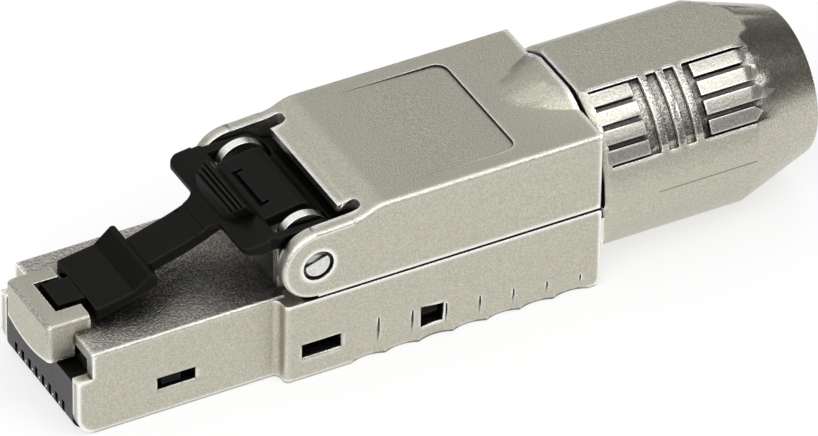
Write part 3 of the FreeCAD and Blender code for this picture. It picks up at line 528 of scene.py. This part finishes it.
# Inner parts: black plastic made darker still, partly a painted shade for the inside of the plug.
INSIDE = Finish(
    name="inner_black_with_painted_shade",
    colour=rgba(0.004, 0.004, 0.0036),
    dark=rgba(0.002, 0.002, 0.0018),
    painted_highlight_colour=rgba(0.03, 0.03, 0.027),
    painted_shade_colour=rgba(0.0006, 0.0006, 0.0006),
    roughness=0.5,
    specular=0.12,
)
# Circuit card: green laminate darkened almost to black, a painted shade seen through the windows.
CARD = Finish(
    name="card_in_painted_shade",
    colour=rgba(0.0020, 0.0040, 0.0022),
    dark=rgba(0.0012, 0.0026, 0.0014),
    painted_highlight_colour=rgba(0.012, 0.014, 0.009),
    painted_shade_colour=rgba(0.0004, 0.0006, 0.0004),
    roughness=0.45,
    specular=0.1,
)
GOLD = Finish(
    name="gold_flash",
    colour=rgba(0.80, 0.55, 0.20),
    dark=rgba(0.66, 0.44, 0.15),
    painted_highlight_colour=rgba(0.95, 0.80, 0.50),
    painted_shade_colour=rgba(0.05, 0.03, 0.01),
    metallic=1.0,
    roughness=0.25,
)


def dress(finish: Finish, *nodes: str) -> None:
    """Give CAD nodes a finish.

    Args:
        finish: the finish.
        *nodes: names of the nodes.
    """
    for name in nodes:
        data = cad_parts[name].data
        data.materials.clear()
        data.materials.append(finish.material())
        LOG.info("%s dressed in %s", name, finish.name)


def publish(
    shape: bmesh.types.BMesh, name: str, finishes: tuple[Finish, ...], body: Body
) -> bpy.types.Object:
    """Turn a finished bmesh into a piece that rides on a body.

    Args:
        shape: the bmesh, in metres and in place; it is freed.
        name: name of the piece.
        finishes: finishes, in the order of the faces' material numbers.
        body: body that the piece moves with.

    Returns:
        The piece.
    """
    mesh = bpy.data.meshes.new(name)
    shape.to_mesh(mesh)
    shape.free()
    for finish in finishes:
        mesh.materials.append(finish.material())
    piece = bpy.data.objects.new(name, mesh)
    bpy.context.scene.collection.objects.link(piece)
    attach(piece, body.value)
    LOG.info("%s made with %d faces", name, len(mesh.polygons))
    return piece


@dataclass(frozen=True)
class RoundedNode:
    """A CAD node again, with the small radii that a casting or moulding has on its edges."""

    node: str
    body: Body
    slot: Slot
    radius_mm: float
    finishes: tuple[Finish, ...]
    corner_deg: float = 28.0
    crease_deg: float = 50.0
    least_edge_mm: float = 0.3
    least_near_mm: float = 0.12
    merge_mm: float = 0.001
    sliver_mm: float = 0.0001
    flat_deg: float = 0.5
    segments: int = 2

    def corners(self, shape: bmesh.types.BMesh) -> set[bmesh.types.BMEdge]:
        """Find the corners that are long and free enough to be rounded.

        Args:
            shape: the merged mesh of the node.

        Returns:
            The edges.
        """
        limit = math.radians(self.corner_deg)
        found = set()
        for edge in shape.edges:
            if edge.calc_face_angle(0.0) < limit or edge.calc_length() < self.least_edge_mm * MM:
                continue
            beside = [other for vert in edge.verts for other in vert.link_edges if other is not edge]
            if min(other.calc_length() for other in beside) > self.least_near_mm * MM:
                found.add(edge)
        return found

    def number_chains(self, shape: bmesh.types.BMesh, chain: bmesh.types.BMLayerItem) -> int:
        """Give the corners that hang together the same number.

        Args:
            shape: the merged mesh of the node.
            chain: edge layer that keeps the numbers.

        Returns:
            The count of the chains, which is also the last number.
        """
        left = self.corners(shape)
        ordered = [edge for edge in shape.edges if edge in left]
        count = 0
        for seed in ordered:
            if seed not in left:
                continue
            count += 1
            left.discard(seed)
            reached = [seed]
            while reached:
                edge = reached.pop()
                edge[chain] = count
                joined = [other for vert in edge.verts for other in vert.link_edges if other in left]
                left.difference_update(joined)
                reached.extend(joined)
        return count

    def round_off(self, shape: bmesh.types.BMesh) -> None:
        """Round the corners one chain at a time, so that a short edge holds back its own chain alone.

        Args:
            shape: the merged mesh of the node.
        """
        chain = shape.edges.layers.int.new("chain")
        for number in range(1, self.number_chains(shape, chain) + 1):
            made = bmesh.ops.bevel(
                shape,
                geom=[edge for edge in shape.edges if edge[chain] == number],
                offset=self.radius_mm * MM,
                offset_type="OFFSET",
                segments=self.segments,
                profile=0.5,
                affect="EDGES",
                clamp_overlap=True,
                material=-1,
            )
            for edge in made["edges"]:
                edge[chain] = 0

    def build(self, pick: Picker) -> bpy.types.Object:
        """Merge the node's triangles, round its corners and sort its faces by finish.

        Args:
            pick: gives a face's finish from its middle, in millimetres, and its normal.

        Returns:
            The piece, which replaces the node.
        """
        shape = bmesh.new()
        shape.from_mesh(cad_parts[self.node].data)
        bmesh.ops.remove_doubles(shape, verts=shape.verts, dist=self.merge_mm * MM)
        bmesh.ops.dissolve_limit(
            shape, angle_limit=math.radians(self.flat_deg), verts=shape.verts, edges=shape.edges
        )
        self.round_off(shape)
        bmesh.ops.dissolve_degenerate(shape, dist=self.sliver_mm * MM, edges=shape.edges)
        shape.normal_update()
        crease = math.radians(self.crease_deg)
        for edge in shape.edges:
            edge.smooth = edge.calc_face_angle(0.0) < crease
        for face in shape.faces:
            face.smooth = True
            finish = pick(face.calc_center_median() / MM, face.normal)
            face.material_index = self.finishes.index(finish)
        piece = publish(shape, self.node + "_casting", self.finishes, self.body)
        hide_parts(self.node)
        even = piece.modifiers.new("even_light", "WEIGHTED_NORMAL")
        even.keep_sharp = True
        return piece


@dataclass
class Housing:
    """Lower housing with its nose, ears, hinge pins, contacts and wiring parts."""

    nose_top_mm: float = 6.6
    nose_end_mm: float = 15.3
    ear_span_mm: Span = (4.1, 5.0)
    hinge_mm: Span = (17.55, 9.25)
    pin_end_mm: float = 6.68
    pin_head_r_mm: float = 0.94
    pin_head_t_mm: float = 0.26
    pin_head_flat_mm: float = 0.3
    pin_head_turn_deg: float = 18.0
    pin_head_edge_mm: float = 0.07
    pin_head_seat_mm: float = 0.02
    pin_head_sides: int = 48
    pin_corner_deg: float = 45.0
    tip_r_mm: float = 0.08
    face_depth_mm: float = 0.4
    tip_rise_mm: float = 1.1
    tip_count: int = 7
    contact_pitch_mm: float = 1.02
    contacts: int = 8
    window_x_mm: tuple[Span, ...] = ((6.0, 8.95), (16.4, 19.4), (25.53, 27.25))
    window_z_mm: Span = (1.15, 2.85)
    rim_mm: float = 0.18
    half_mm: Span = (5.84, 7.03)
    guard_end_mm: float = 2.6
    same_mm: float = 0.1
    level: float = 0.9
    slanted: float = 0.4
    facing: float = 0.5
    edge_mm: float = 0.16
    carrier_edge_mm: float = 0.04

    def pick(self, middle: Vector, normal: Vector) -> Finish:
        """Choose the plating of the nose's top, which has a painted dark reflection, the windows' walls,
        in painted shade, the guard, and the ears, in painted highlight.

        Args:
            middle: middle of the face, in millimetres.
            normal: the face's normal.

        Returns:
            The finish.
        """
        on_nose = middle.x < self.nose_end_mm
        # The nose's top gets the painted dark reflection.
        if on_nose and normal.z > self.level and abs(middle.z - self.nose_top_mm) < self.same_mm:
            return NOSE_TOP
        # The guard's front chamfer gets the same painted dark reflection, as a dark line.
        if middle.x < 0.0 and normal.x < -self.slanted and normal.z > self.slanted:
            return NOSE_TOP
        if middle.x < self.guard_end_mm and middle.z > self.nose_top_mm + self.same_mm:
            return GUARD_NICKEL
        # Window walls get the painted shade.
        half = self.half_mm[0] if on_nose else self.half_mm[1]
        low, high = self.window_z_mm
        if abs(middle.y) < half - self.rim_mm and low < middle.z < high:
            if any(start < middle.x < end for start, end in self.window_x_mm):
                return SHADED
        # The ears get the painted highlight.
        low, high = self.ear_span_mm
        if not on_nose and middle.z > self.nose_top_mm and low < abs(middle.y) < high:
            return BRIGHT
        return NICKEL

    def pick_carrier(self, middle: Vector, normal: Vector) -> Finish:
        """Choose the carrier's dark grey for its front face, which shows in the mouth, and the darker
        inner black, partly painted shade, for its other faces.
        """
        return DARK if middle.x < self.face_depth_mm and normal.x < -self.facing else INSIDE

    def pin_head(self, side: int) -> None:
        """Make the visible end of a hinge pin, a disc with one flat.

        Args:
            side: -1 for the near pin, 1 for the far one.
        """
        shape = bmesh.new()
        bmesh.ops.create_cone(
            shape,
            cap_ends=True,
            segments=self.pin_head_sides,
            radius1=self.pin_head_r_mm * MM,
            radius2=self.pin_head_r_mm * MM,
            depth=self.pin_head_t_mm * MM,
        )
        cut = bmesh.ops.bisect_plane(
            shape,
            geom=shape.verts[:] + shape.edges[:] + shape.faces[:],
            plane_co=(0.0, self.pin_head_flat_mm * MM, 0.0),
            plane_no=(0.0, 1.0, 0.0),
            clear_outer=True,
        )
        rim = [item for item in cut["geom_cut"] if isinstance(item, bmesh.types.BMEdge)]
        bmesh.ops.edgeloop_fill(shape, edges=rim)
        limit = math.radians(self.pin_corner_deg)
        bmesh.ops.bevel(
            shape,
            geom=[edge for edge in shape.edges if edge.calc_face_angle(0.0) > limit],
            offset=self.pin_head_edge_mm * MM,
            segments=3,
            profile=0.5,
            affect="EDGES",
            material=-1,
        )
        turn = Matrix.Rotation(math.radians(self.pin_head_turn_deg), 4, "Z")
        lay = Matrix.Rotation(math.radians(90.0), 4, "X")
        middle = self.pin_end_mm + self.pin_head_t_mm / 2 - self.pin_head_seat_mm
        place = Matrix.Translation(Vector((self.hinge_mm[0], side * middle, self.hinge_mm[1])) * MM)
        bmesh.ops.transform(shape, matrix=place @ lay @ turn, verts=shape.verts)
        bmesh.ops.recalc_face_normals(shape, faces=shape.faces)
        name = "pin_head_near" if side < 0 else "pin_head_far"
        publish(shape, name, (STEEL,), Body.HOUSING)

    def contact_tips(self) -> None:
        """Make the small bright tips between the contact slots in the carrier's face."""
        shape = bmesh.new()
        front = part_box("contact_carrier")[0][0] / MM
        for index in range(self.tip_count):
            across = (index - (self.tip_count - 1) / 2) * self.contact_pitch_mm
            place = Matrix.Translation(Vector((front, across, self.tip_rise_mm)) * MM)
            bmesh.ops.create_icosphere(shape, subdivisions=2, radius=self.tip_r_mm * MM, matrix=place)
        for face in shape.faces:
            face.smooth = True
        # The tips wear the painted highlight nickel.
        publish(shape, "contact_tips", (BRIGHT,), Body.HOUSING)

    def build(self) -> None:
        """Make and dress every piece of the housing."""
        plating = (NICKEL, NOSE_TOP, BRIGHT, SHADED, GUARD_NICKEL)
        shell = RoundedNode("lower_housing", Body.HOUSING, Slot.NICKEL, self.edge_mm, plating)
        shell.build(self.pick)
        for side in (-1, 1):
            self.pin_head(side)
        self.contact_tips()
        dress(STEEL, "hinge_pin_near", "hinge_pin_far", "screen_strip")
        plastics = (DARK, INSIDE)
        carrier = RoundedNode("contact_carrier", Body.HOUSING, Slot.DARK, self.carrier_edge_mm, plastics)
        carrier.build(self.pick_carrier)
        dress(INSIDE, "cable_collet", "terminal_block")
        dress(CARD, "circuit_card")
        for number in range(1, self.contacts + 1):
            dress(GOLD, "contact_%d" % number, "terminal_fork_%d" % number)


@dataclass
class Lid:
    """Hinged lid with its bosses and the wire presser inside."""

    edge_mm: float = 0.12
    top_mm: float = 12.75
    label_depth_mm: float = 0.17
    level: float = 0.99
    label_x_mm: Span = (25.80, 33.75)
    label_half_mm: float = 5.6

    def pick(self, middle: Vector, normal: Vector) -> Finish:
        """Choose shaded plating for the low wall round the label recess.

        Args:
            middle: middle of the face, in millimetres.
            normal: the face's normal.

        Returns:
            The finish.
        """
        start, end = self.label_x_mm
        on_panel = start < middle.x < end and abs(middle.y) < self.label_half_mm
        near_top = middle.z > self.top_mm - self.label_depth_mm
        return SHADED if on_panel and near_top and normal.z < self.level else LID_NICKEL

    def build(self) -> None:
        """Make and dress the lid's pieces."""
        cover = RoundedNode("lid", Body.LID, Slot.NICKEL, self.edge_mm, (LID_NICKEL, SHADED))
        cover.build(self.pick)
        dress(INSIDE, "wire_presser")


@dataclass
class Latch:
    """Black one-piece latch."""

    edge_mm: float = 0.1
    least_edge_mm: float = 0.5
    least_near_mm: float = 0.25

    def pick(self, middle: Vector, normal: Vector) -> Finish:
        """Choose the same black plastic for every face."""
        return BLACK

    def build(self) -> None:
        """Make the latch with softened edges."""
        node = RoundedNode(
            "latch",
            Body.LATCH,
            Slot.BLACK,
            self.edge_mm,
            (BLACK,),
            least_edge_mm=self.least_edge_mm,
            least_near_mm=self.least_near_mm,
        )
        node.build(self.pick)


@dataclass
class Sleeve:
    """Strain relief sleeve with its finger grip."""

    axis_rise_mm: float = 6.9
    radius_mm: float = 7.26
    cone_x_mm: float = 51.6
    grip_x_mm: Span = (40.4, 53.2)
    grip_deg: Span = (23.5, 70.0)
    ridge_x_mm: Span = (44.2, 48.3)
    edge_mm: float = 0.07
    line_x_mm: Span = (43.8, 51.5)
    line_rise_mm: float = 6.6
    line_size_mm: Span = (0.06, 0.07)
    line_edge_mm: float = 0.014
    floor_depth_mm: float = 0.1
    cone_fall: float = 0.36
    cone_overlap_mm: float = 0.2

    def pick(self, middle: Vector, normal: Vector) -> Finish:
        """Choose the finish of the grip's floor, which is in painted shade, its ribs and the rear cone.

        Args:
            middle: middle of the face, in millimetres.
            normal: the face's normal.

        Returns:
            The finish.
        """
        rise = middle.z - self.axis_rise_mm
        outwards = normal.y * middle.y + normal.z * rise > 0.0
        reach = math.hypot(middle.y, rise)
        turn = math.degrees(math.atan2(rise, -middle.y))
        along = self.grip_x_mm[0] < middle.x < self.grip_x_mm[1]
        around = self.grip_deg[0] < turn < self.grip_deg[1]
        fall = max(0.0, middle.x - self.cone_x_mm) * self.cone_fall
        limit = self.radius_mm - self.floor_depth_mm - fall
        on_ridges = self.ridge_x_mm[0] < middle.x < self.ridge_x_mm[1]
        # The floor between the ribs gets the painted shade.
        if outwards and along and around:
            return GRIP_FLOOR if on_ridges or reach < limit else RIB_TOP
        if outwards and middle.x > self.cone_x_mm - self.cone_overlap_mm:
            return CONE
        return NICKEL

    def mould_line(self) -> None:
        """Lay the fine line that the mould leaves along the near side of the barrel."""
        start, end = self.line_x_mm
        depth, height = self.line_size_mm
        shape = bmesh.new()
        middle = Vector(((start + end) / 2, -self.radius_mm + depth / 2, self.line_rise_mm)) * MM
        grow = Matrix.Diagonal(((end - start) * MM, depth * MM, height * MM, 1.0))
        bmesh.ops.create_cube(shape, size=1.0, matrix=Matrix.Translation(middle) @ grow)
        bmesh.ops.bevel(
            shape,
            geom=shape.edges[:],
            offset=self.line_edge_mm * MM,
            segments=2,
            profile=0.5,
            affect="EDGES",
            material=-1,
        )
        publish(shape, "mould_line", (SEAM,), Body.SLEEVE)

    def build(self) -> None:
        """Make the sleeve with its rounded ribs and its grip floor in painted shade."""
        finishes = (NICKEL, GRIP_FLOOR, CONE, RIB_TOP)
        node = RoundedNode("strain_relief_sleeve", Body.SLEEVE, Slot.NICKEL, self.edge_mm, finishes)
        node.build(self.pick)
        self.mould_line()


@dataclass
class Studio:
    """Floor, lights and the camera of the photograph."""

    focal_px: float = 9949.56
    frame_width_px: int = 818
    turn_deg: float = 28.718
    pitch_deg: float = 37.211
    roll_deg: float = 0.982
    distance_mm: float = 673.271
    shift_mm: Span = (24.983, 11.641)
    sensor_mm: float = 36.0
    floor_level: float = 0.9
    floor_glow: float = 0.7
    floor_size: float = 6.0
    floor_drop: float = 0.00005
    sky_low: float = 0.08
    sky_high: float = 1.0
    sky_rise: Span = (0.26, 0.60)
    flag_aim: tuple[float, float, float] = (0.9, 0.0, 0.436)
    flag_spread: Span = (0.75, 0.90)
    aim_mm: tuple[float, float, float] = (28.0, 0.0, 6.0)
    clip_m: Span = (0.01, 20.0)
    key_place_m: tuple[float, float, float] = (0.34, -0.36, 0.70)
    key_watts: float = 2.2
    fill_place_m: tuple[float, float, float] = (-0.45, -0.45, 0.6)
    fill_watts: float = 2.5
    lamp_size_m: float = 0.5

    def camera(self) -> None:
        """Set up the camera that sees the part as the photograph does."""
        turn = math.radians(self.turn_deg)
        pitch = math.radians(self.pitch_deg)
        roll = math.radians(self.roll_deg)
        right = Vector((math.cos(turn), -math.sin(turn), 0.0))
        level = math.cos(pitch)
        ahead = Vector((math.sin(turn) * level, math.cos(turn) * level, -math.sin(pitch)))
        up = right.cross(ahead)
        side = right * math.cos(roll) + up * math.sin(roll)
        top = up * math.cos(roll) - right * math.sin(roll)
        place = (side * self.shift_mm[0] + top * self.shift_mm[1] - ahead * self.distance_mm) * MM
        data = bpy.data.cameras.new("photo_camera")
        data.sensor_width = self.sensor_mm
        data.lens = self.focal_px * self.sensor_mm / self.frame_width_px
        data.clip_start, data.clip_end = self.clip_m
        camera = bpy.data.objects.new("photo_camera", data)
        bpy.context.scene.collection.objects.link(camera)
        axes = Matrix((side, top, -ahead)).transposed().to_4x4()
        camera.matrix_world = Matrix.Translation(place) @ axes
        bpy.context.scene.camera = camera

    def floor(self) -> None:
        """Lay a pale floor that keeps the part's shadow."""
        mesh = bpy.data.meshes.new("floor")
        shape = bmesh.new()
        below = Matrix.Translation((0.0, 0.0, -self.floor_drop))
        bmesh.ops.create_grid(shape, x_segments=1, y_segments=1, size=self.floor_size / 2, matrix=below)
        shape.to_mesh(mesh)
        shape.free()
        floor = bpy.data.objects.new("floor", mesh)
        bpy.context.scene.collection.objects.link(floor)
        material = bpy.data.materials.new("pale_floor")
        material.use_nodes = True
        tree = material.node_tree
        tree.nodes.clear()
        make = NodeMaker(tree)
        output = make.add("ShaderNodeOutputMaterial")
        matt = make.add("ShaderNodeBsdfDiffuse")
        matt.inputs["Color"].default_value = grey(self.floor_level)
        glow = make.add("ShaderNodeEmission")
        glow.inputs["Color"].default_value = grey(1.0)
        blend = make.add("ShaderNodeMixShader")
        path = make.add("ShaderNodeLightPath")
        seen = make.calc("MAXIMUM", path.outputs["Is Camera Ray"], path.outputs["Is Glossy Ray"])
        seen = make.calc("MAXIMUM", seen, path.outputs["Is Transmission Ray"])
        make.link(make.calc("MULTIPLY", seen, self.floor_glow), blend.inputs["Fac"])
        make.link(matt.outputs["BSDF"], blend.inputs[1])
        make.link(glow.outputs["Emission"], blend.inputs[2])
        make.link(blend.outputs["Shader"], output.inputs["Surface"])
        mesh.materials.append(material)

    def sky(self) -> None:
        """Light everything from a soft sky that is darker low down and behind the sleeve."""
        world = bpy.data.worlds.new("studio")
        bpy.context.scene.world = world
        world.use_nodes = True
        tree = world.node_tree
        tree.nodes.clear()
        make = NodeMaker(tree)
        output = make.add("ShaderNodeOutputWorld")
        background = make.add("ShaderNodeBackground")
        place = make.add("ShaderNodeTexCoord")
        split = make.add("ShaderNodeSeparateXYZ")
        make.link(place.outputs["Generated"], split.inputs[0])
        flag = make.add("ShaderNodeVectorMath", operation="DOT_PRODUCT")
        make.link(place.outputs["Generated"], flag.inputs[0])
        flag.inputs[1].default_value = self.flag_aim
        shaded = make.ramp(flag.outputs["Value"], *self.flag_spread)
        height = make.calc("SUBTRACT", make.ramp(split.outputs["Z"], *self.sky_rise), shaded)
        height = make.calc("MAXIMUM", height, 0.0)
        make.link(make.mix(height, grey(self.sky_low), grey(self.sky_high)), background.inputs["Color"])
        background.inputs["Strength"].default_value = 1.0
        make.link(background.outputs["Background"], output.inputs["Surface"])

    def lamp(self, name: str, place: Vector, size: float, power: float) -> None:
        """Add a square soft lamp that faces the part.

        Args:
            name: the lamp's name.
            place: its place, in metres.
            size: length of its side, in metres.
            power: its power, in watts.
        """
        data = bpy.data.lights.new(name, "AREA")
        data.shape = "SQUARE"
        data.size = size
        data.energy = power
        lamp = bpy.data.objects.new(name, data)
        bpy.context.scene.collection.objects.link(lamp)
        lamp.location = place
        lamp.rotation_euler = (Vector(self.aim_mm) * MM - place).to_track_quat("-Z", "Y").to_euler()

    def build(self) -> None:
        """Make the whole studio."""
        bpy.context.scene.view_settings.view_transform = "Standard"
        self.camera()
        self.floor()
        self.sky()
        self.lamp("key_lamp", Vector(self.key_place_m), self.lamp_size_m, self.key_watts)
        self.lamp("fill_lamp", Vector(self.fill_place_m), self.lamp_size_m, self.fill_watts)
        LOG.info("studio ready")


def main() -> None:
    """Build every sub-assembly in order."""
    logging.basicConfig(level=logging.INFO, format="%(name)s: %(message)s")
    Studio().build()
    for assembly in (Housing(), Lid(), Latch(), Sleeve()):
        assembly.build()


if __name__ == "__main__":
    main()
